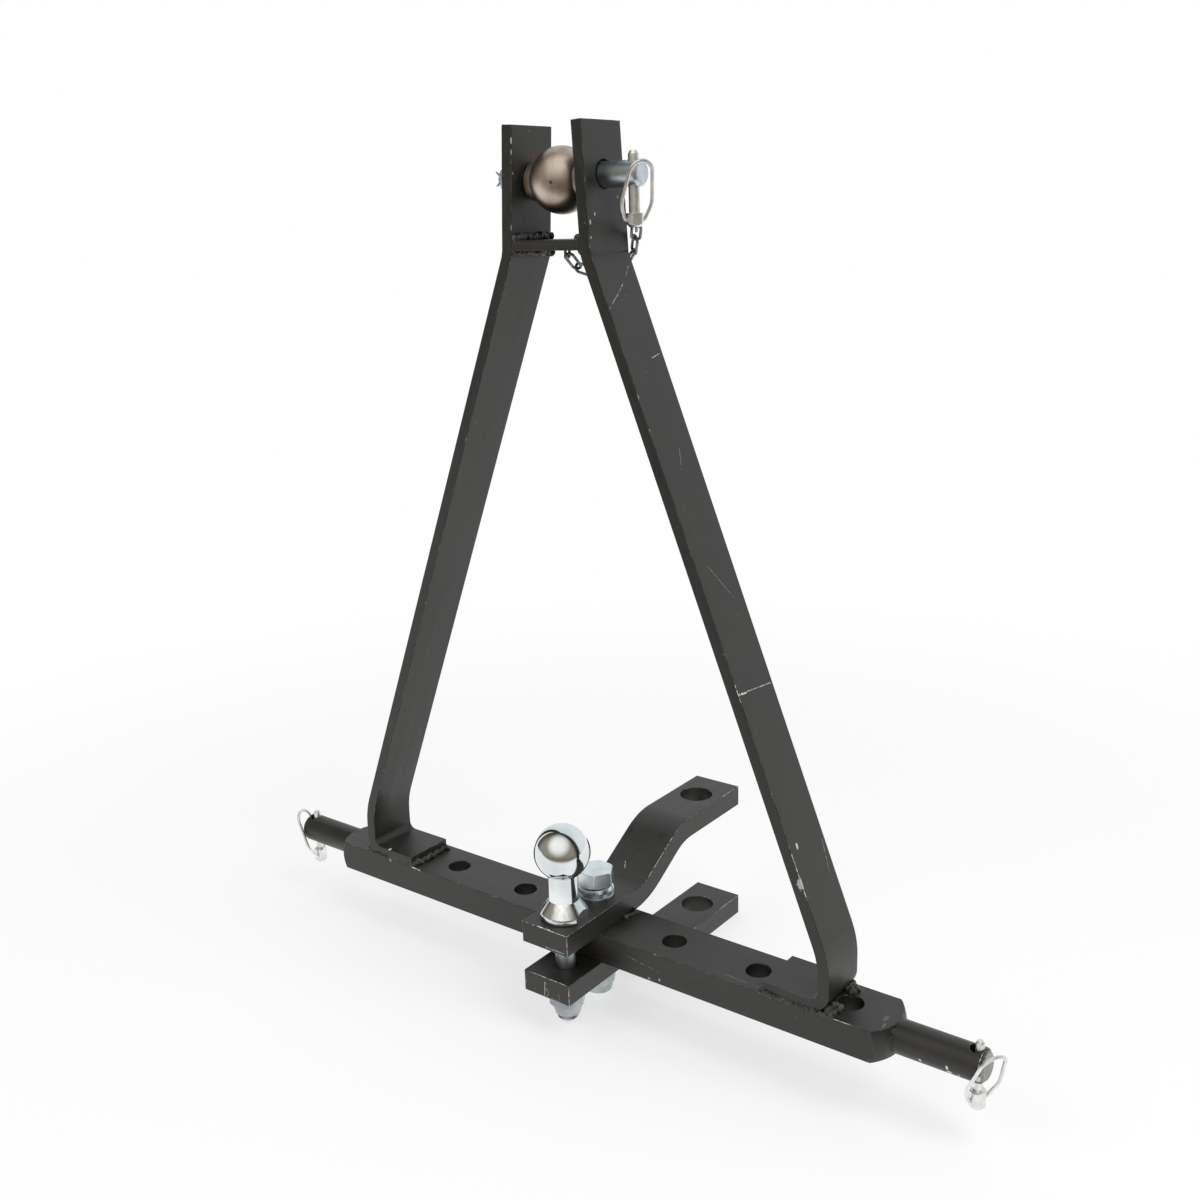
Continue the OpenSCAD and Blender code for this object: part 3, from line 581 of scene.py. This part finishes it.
def settled(piece, *with_pieces, place, turn=(0, 0, 0)):
    """Joins pieces, puts them at their place in millimetres, and smooths what isn't sharp."""
    bpy.ops.object.select_all(action="DESELECT")
    for one in (*with_pieces, piece):
        one.select_set(True)
    bpy.context.view_layer.objects.active = piece
    if with_pieces:
        bpy.ops.object.join()
    piece.rotation_euler = turn
    piece.location = Vector(place) * MM
    bpy.ops.object.transform_apply(location=True, rotation=True, scale=True)
    bpy.ops.object.shade_smooth_by_angle(angle=SOFT)
    return piece


def bright_metal(name, low, high, rough, spread, scale, deep, marks=None):
    """Plated steel in soft clouds between two colours, with a fine grain.

    rough is its roughness and spread how far that varies, scale the noise scale of the clouds,
    deep the strength of the bump, and marks the noise scales of tool marks along the three axes.
    """
    f = Finish(name)
    clouds = f.noise(scale, 3.0, 0.5)
    fine = f.noise(700.0, 3.0)
    tint = f.mix((clouds * 0.7 + fine * 0.3).step(0.3, 0.7), colour(low), colour(high))
    height = fine * 0.25
    sheen = clouds * spread + (rough - spread / 2)
    if marks:
        lines = f.noise(1.0, 2.0, 0.6, f.vector("MULTIPLY", f.place, marks))
        height = lines + fine * 0.2
        sheen = sheen + lines * 0.08
    return f.surface(tint, Metallic=1.0, Roughness=sheen.limited(), Normal=f.bump(height, deep, 0.05 * MM))


thread = []
for i in range(THREAD_TURNS):
    crest = THREAD_FOOT + THREAD_PITCH * i
    thread += [(STUD_R, crest), (STUD_ROOT_R, crest + THREAD_PITCH / 2)]
stud = [(7.0, -67.6), (9.0, -66), *thread, (STUD_R, -35), (STUD_R, 33.6), (STUD_R, 50)]
neck = [(NECK_R, 50.6), (NECK_R, NECK_TOP)]
first = -math.degrees(math.acos(NECK_R / BALL_R))
arc = [math.radians(first + (POLE - first) * i / ARC_STEPS) for i in range(ARC_STEPS + 1)]
round_top = [(BALL_R * math.cos(a), BALL_Z + BALL_R * math.sin(a)) for a in arc]
ball = turned("tow_ball_finished", stud + neck + round_top)
foot = [(20.6, SEAT), (FLARE_R, SEAT + 0.9), (FLARE_R, SEAT + 5.6)]
flare = [(21.2, SEAT + 6.2), (14.0, SEAT + 16.5), (13.6, SEAT + 17)]
base = turned("tow_ball_base", foot + flare)
bpy.ops.object.mode_set(mode="EDIT")
for side in (-1, 1):
    out = Vector((math.cos(FLATS), math.sin(FLATS), 0)) * side
    bpy.ops.mesh.select_all(action="SELECT")
    bpy.ops.mesh.bisect(plane_co=out * FLAT_OUT * MM, plane_no=out, use_fill=True, clear_outer=True)
bpy.ops.object.mode_set(mode="OBJECT")
settled(ball, base, place=(TOW_X, TOW_Y, 0))


def ball_plating(name):
    """Bright plating, polished on neck and ball, with tool marks and painted reflection streaks on the flare,
    and a dull stud.
    """
    f = Finish(name)
    clouds = f.noise(30.0, 3.0, 0.5)
    lines = f.noise(1.0, 2.0, 0.6, f.vector("MULTIPLY", f.place, (25, 25, 1500)))
    marks_and_reflection_streaks = f.noise(1.0, 2.0, 0.6, f.vector("MULTIPLY", f.place, (420, 420, 12)))
    height = f.node("ShaderNodeSeparateXYZ", None, {0: f.place})["Z"]
    polished = height.step((SEAT + 15) * MM, (SEAT + 18) * MM)
    stud = height.step((SEAT - 1) * MM, (SEAT - 3) * MM)
    tint = f.mix(clouds.step(0.3, 0.7), colour("#d0d6d8"), colour("#eff2f2"))
    # Painted reflection: brownish vertical streaks darken the colour below the neck, on the flare and the
    # stud.
    tint = f.mix((1 - polished) * marks_and_reflection_streaks.step(0.4, 0.7) * 0.35, tint, colour("#9b9890"))
    tint = f.mix(stud * 0.8, tint, colour("#9aa2a3"))
    return f.surface(
        tint, Metallic=1.0, Roughness=(clouds * 0.05 + 0.16 - polished * 0.1 + stud * 0.2).limited(),
        Normal=f.bump((lines + marks_and_reflection_streaks * 0.5) * (1 - polished * 0.75), 0.14, 0.05 * MM),
    )


fitted(ball, ball_plating("tow_ball_plating"), "tow_ball_plating", "root", "tow_ball")

# Bolt, washers and nuts: a zinc-plated hexagon bolt through straps and bar, with a spring washer
# and two flat washers, and under each of the two studs a lock nut with a tapered collar.
zinc = bright_metal("zinc_plate", "#cbd6db", "#eef5f7", rough=0.32, spread=0.12, scale=60.0, deep=0.25)
nut_zinc = bright_metal("zinc_nut", "#8f9698", "#bcc2c2", rough=0.42, spread=0.1, scale=60.0, deep=0.25)
for node, roll, finish in (
    ("hitch_bolt", 0.5, zinc), ("split_washer", 0.7, zinc), ("upper_flat_washer", 0.4, zinc),
    ("lower_flat_washer", 0.4, zinc), ("hitch_nut", 0.4, nut_zinc), ("tow_ball_nut", 0.4, nut_zinc),
    ("ball_nut_washer", 0.4, zinc),
):
    fitted(rolled_copy(node, roll * MM), finish, "zinc_hardware", "root", node)

# Top link pin: a 20 mm pin with a cross hole at each end. A linch pin goes through the right one,
# and a split pin behind a loose washer through the left one. Bluish zinc, scuffed by the ball.
pin_zinc = bright_metal(
    "zinc_pin", "#9fadb7", "#dfe7ec", rough=0.3, spread=0.14, scale=34.0, deep=0.2, marks=(900, 40, 40)
)
fitted(rolled_copy("top_link_pin", 0.5 * MM), pin_zinc, "pin_zinc", "top_pin", "top_link_pin")
fitted(rolled_copy("top_pin_washer", 0.4 * MM), zinc, "zinc_hardware", "top_pin", "top_pin_washer")
fitted(rolled_copy("top_pin_cotter", 0.25 * MM), zinc, "zinc_hardware", "top_pin", "top_pin_cotter")

# Top link ball: a 52 mm steel ball with two short hubs, bored through and loose on its pin. Bare
# turned steel, browned by handling, with fine tool marks around the pin's axis.
LINK_R, HUB_R, BORE_R, HUB_OUT = 26.0, 15.0, 12.7, 28.0
BORE_CUT, HUB_CUT = 0.8, 0.6
HALF_STEPS = 26
TOP_PIN_PLACE = (0, -3, 653.9)

meet = math.degrees(math.acos(HUB_R / LINK_R))
crown = [math.radians(meet * (i / HALF_STEPS - 1)) for i in range(2 * HALF_STEPS + 1)]
bore_start = (BORE_R, -HUB_OUT + BORE_CUT)
left_hub = [(BORE_R + BORE_CUT, -HUB_OUT), (HUB_R - HUB_CUT, -HUB_OUT), (HUB_R, -HUB_OUT + HUB_CUT)]
round_part = [(LINK_R * math.cos(a), LINK_R * math.sin(a)) for a in crown]
right_hub = [(HUB_R, HUB_OUT - HUB_CUT), (HUB_R - HUB_CUT, HUB_OUT), (BORE_R + BORE_CUT, HUB_OUT)]
bore_end = (BORE_R, HUB_OUT - BORE_CUT)
link_ball = turned(
    "top_link_ball_finished",
    [bore_start, *left_hub, *round_part, *right_hub, bore_end, bore_start],
    hollow=True,
)
settled(link_ball, place=TOP_PIN_PLACE, turn=(0, math.pi / 2, 0))


def handled_steel(name):
    """Bare turned steel with fine lines around the X axis, browned and a little stained."""
    f = Finish(name)
    lines = f.noise(1.0, 2.0, 0.6, f.vector("MULTIPLY", f.place, (1600, 30, 30)))
    stain = f.noise(42.0, 4.0, 0.6)
    across = f.node("ShaderNodeSeparateXYZ", None, {0: f.place})["X"].math("ABSOLUTE")
    hub = across.step(20.8 * MM, 21.6 * MM)
    tint = f.mix(stain.step(0.3, 0.7), colour("#a8978a"), colour("#d2c6ba"))
    tint = f.mix(hub * 0.7, tint, colour("#a8978c"))
    pit = f.near((8, -28, 652), (1.6, 1.6, 1.6))
    tint = f.mix(pit * 0.7, tint, colour("#3a332c"))
    return f.surface(
        tint, Metallic=1.0, Roughness=(stain * 0.12 + lines * 0.08 + 0.26 + hub * 0.12).limited(),
        Normal=f.bump(lines + stain * 0.2, 0.16, 0.05 * MM),
    )


fitted(link_ball, handled_steel("bare_turned_steel"), "bare_steel", "top_ball", "top_link_ball")

# Linch pins: three pins with a drilled head, each with a ring of spring wire, hooked into the
# head, that snaps over the end of the pin it locks. Pale zinc, dulled. RINGS gives each ring's
# place in its head, its turn about Z in degrees, its width and its length.
RING_WIRE = 3.0
RINGS = {
    "top": ((69, -3, 622.25), 58, 25.5, 45.7), "right": ((372, 0, -30.25), 58, 30.5, 51.7),
    "left": ((-368, 0, -30.25), -70, 30.5, 51.7),
}
RING_LEAN = math.radians(22)
TAPER = math.radians(8)
HOOK = 8.2
CORNER_SHARE = 0.28
HOOK_CUT, CORNER_CUT = 2.2, 5.5
ARCH_STEPS = 24
CURVE_STEPS = 6


def rounded(points, cut):
    """A closed outline with its corners cut back and curved; cut gives each corner's length."""
    outline = []
    for i, point in enumerate(points):
        if not cut[i]:
            outline.append(point)
            continue
        before = point + (points[i - 1] - point).normalized() * cut[i]
        after = point + (points[(i + 1) % len(points)] - point).normalized() * cut[i]
        for k in range(CURVE_STEPS + 1):
            t = k / CURVE_STEPS
            outline.append(before * (1 - t) ** 2 + point * 2 * t * (1 - t) + after * t ** 2)
    return outline


def spring_ring(name, place, turn, width, length):
    """A wire bent to a drop shape, its straight end through the head, at its place."""
    corner = Vector((width / 2, 0, CORNER_SHARE * length))
    rise = length - corner.z
    arch = (corner.x * math.cos(TAPER) - rise * math.sin(TAPER)) / (1 - math.sin(TAPER))
    top = [
        Vector((arch * math.cos(a), 0, length - arch + arch * math.sin(a)))
        for a in (TAPER + (math.pi - 2 * TAPER) * i / ARCH_STEPS for i in range(ARCH_STEPS + 1))
    ]
    points = [Vector((-HOOK, 0, 0)), Vector((HOOK, 0, 0)), corner, *top, Vector((-corner.x, 0, corner.z))]
    outline = rounded(points, [HOOK_CUT, HOOK_CUT, CORNER_CUT] + [0] * len(top) + [CORNER_CUT])
    wire = bpy.data.curves.new(name, "CURVE")
    wire.dimensions = "3D"
    wire.bevel_depth = RING_WIRE / 2 * MM
    wire.bevel_resolution = 5
    line = wire.splines.new("POLY")
    line.points.add(len(outline) - 1)
    for point, spot in zip(line.points, outline):
        point.co = (*(spot * MM), 1)
    line.use_cyclic_u = True
    ring = bpy.data.objects.new(name, wire)
    bpy.context.scene.collection.objects.link(ring)
    bpy.ops.object.select_all(action="DESELECT")
    ring.select_set(True)
    bpy.context.view_layer.objects.active = ring
    bpy.ops.object.convert(target="MESH")
    ring = bpy.context.active_object
    ring.matrix_world = (
        Matrix.Translation(Vector(place) * MM) @ Matrix.Rotation(math.radians(turn), 4, "Z")
        @ Matrix.Rotation(RING_LEAN, 4, "X")
    )
    bpy.ops.object.transform_apply(location=True, rotation=True, scale=True)
    bpy.ops.object.shade_smooth()
    return ring


ring_zinc = bright_metal("spring_wire", "#dcdedd", "#fafaf8", rough=0.42, spread=0.1, scale=120.0, deep=0.3)
for side, (place, turn, width, length) in RINGS.items():
    pin = rolled_copy(f"{side}_linch_pin", 0.5 * MM)
    fitted(pin, ring_zinc, "zinc_hardware", f"{side}_linch", f"{side}_linch_pin")
    ring = spring_ring(f"{side}_linch_ring_finished", place, turn, width, length)
    fitted(ring, ring_zinc, "zinc_hardware", f"{side}_ring", f"{side}_linch_ring")

# Chain: a staple under the spacer plate and eight welded wire links, up to the top linch pin.
# Dull plated wire in darker and paler patches. The solids already have their shape.
wire = bright_metal("chain_wire", "#55585a", "#9a9ea0", rough=0.3, spread=0.12, scale=90.0, deep=0.3)
for node in ("chain_staple", *[f"chain_link_{i}" for i in range(1, 9)]):
    nodes[node].data.materials.clear()
    nodes[node].data.materials.append(wire)

# Camera: at the photograph's place, in front on the right, looking a little down, and rolled by
# less than two degrees.
AZIMUTH = math.radians(37.45)
PITCH = math.radians(15.84)
ROLL = math.radians(1.65)
STAND = (0.6912, -0.8725, 0.6256)
LENS = 40.53
SENSOR = 36

toward_part = (-math.sin(AZIMUTH) * math.cos(PITCH), math.cos(AZIMUTH) * math.cos(PITCH), -math.sin(PITCH))
ahead = Vector(toward_part)
level = Vector((math.cos(AZIMUTH), math.sin(AZIMUTH), 0))
down = ahead.cross(level)
across = math.cos(ROLL) * level + math.sin(ROLL) * down
up = math.sin(ROLL) * level - math.cos(ROLL) * down

camera = bpy.data.objects.new("camera", bpy.data.cameras.new("camera"))
bpy.context.scene.collection.objects.link(camera)
camera.data.lens = LENS
camera.data.sensor_width = SENSOR
camera.data.clip_start = 0.01
facing = Matrix((across, up, -ahead)).transposed().to_4x4()
camera.matrix_world = Matrix.Translation(STAND) @ facing
bpy.context.scene.camera = camera

# Floor, room and light: a pale floor under the part, white all round, and behind the camera a dim
# room with one soft lamp, which polished metal shows. Two large soft lights, left and right.
FLOOR_SIZE = 30
FLOOR_GAP = 0.5 * MM
WHITE = (1, 1, 1, 1)
FLOOR_GREY = (0.86, 0.86, 0.86, 1)
FLOOR_IN_METAL = (0.24, 0.21, 0.17, 1)
DIFFUSE_FRONT = (0.20, 0.19, 0.18, 1)
WALL_DARK = (0.05, 0.042, 0.034, 1)
WALL_WARM = (0.32, 0.285, 0.24, 1)
LAMP_SEEN = (1.25, 1.22, 1.16, 1)
BRIGHT_SIDES = (0.82, 0.85, 0.86, 1)
LIT_PLACE = Vector((0, 0, 0.25))

bpy.ops.object.select_all(action="DESELECT")
bpy.ops.mesh.primitive_plane_add(size=FLOOR_SIZE, location=(0, 0, cad_low.z - FLOOR_GAP))
floor = bpy.context.active_object
floor.name = "floor"
f = Finish("floor")
rays = f.node("ShaderNodeLightPath")
mirrored = rays["Is Glossy Ray"].most(rays["Is Transmission Ray"])
away = f.vector("LENGTH", f.place, (0, 0, 0), "Value").step(0.4, 1.4)
toward = f.vector("DOT_PRODUCT", f.place, (-ahead.x, -ahead.y, 0), "Value").step(0.35, 0.75)
seen_tint = f.mix(toward * mirrored, WHITE, FLOOR_IN_METAL)
glow = f.node("ShaderNodeEmission", None, {"Color": seen_tint, "Strength": 1.0})[0]
matt = f.node("ShaderNodeBsdfDiffuse", None, {"Color": FLOOR_GREY})[0]
share = (away * 0.35 + 0.65) * rays["Is Camera Ray"]
both = f.node("ShaderNodeMixShader", None, {0: share.most(mirrored), 1: matt, 2: glow})[0]
f.node("ShaderNodeOutputMaterial", None, {"Surface": both})
floor.data.materials.append(f.material)

world = bpy.data.worlds.new("studio")
bpy.context.scene.world = world
world.use_nodes = True


class Room(Finish):
    """The world's nodes."""

    def __init__(self, world):
        self.start(world.node_tree, "Generated")


room = Room(world)
rays = room.node("ShaderNodeLightPath")
behind_part = room.vector("DOT_PRODUCT", room.place, tuple(ahead), "Value")
diffuse = room.mix(behind_part.step(-0.75, 0.35), DIFFUSE_FRONT, WHITE)
room_way = -0.89 * ahead - 0.40 * level - 0.20 * up
inward = room.vector("DOT_PRODUCT", room.place, tuple(room_way), "Value")
lamp_way = (-0.80 * ahead - 0.20 * level + 0.565 * up).normalized()
lamp_seen = room.vector("DOT_PRODUCT", room.place, tuple(lamp_way), "Value").step(0.6, 1.0)
wall = room.mix(inward.step(-0.16, 0.4), WALL_DARK, WALL_WARM)
wall = room.mix(lamp_seen, wall, LAMP_SEEN)
mirrored = room.mix(inward.step(-0.22, -0.15), BRIGHT_SIDES, wall)
visible = room.mix(rays["Is Glossy Ray"].most(rays["Is Transmission Ray"]), diffuse, mirrored)
backdrop = room.mix(rays["Is Camera Ray"], visible, WHITE)
light = room.node("ShaderNodeBackground", None, {"Color": backdrop, "Strength": 1.0})[0]
room.node("ShaderNodeOutputWorld", None, {"Surface": light})


def softbox(name, place, width, height, power):
    """A large soft light that shines at the part and doesn't show in polished metal."""
    lamp = bpy.data.lights.new(name, "AREA")
    lamp.shape = "RECTANGLE"
    lamp.size = width
    lamp.size_y = height
    lamp.energy = power
    stand = bpy.data.objects.new(name, lamp)
    bpy.context.scene.collection.objects.link(stand)
    stand.location = place
    stand.rotation_euler = (LIT_PLACE - Vector(place)).to_track_quat("-Z", "Y").to_euler()
    stand.visible_glossy = False


softbox("left_light", (-0.6, -1.6, 1.7), width=1.2, height=1.2, power=14)
softbox("right_light", (1.3, -0.2, 2.0), width=1.2, height=1.4, power=30)

bpy.context.scene.view_settings.view_transform = "Standard"
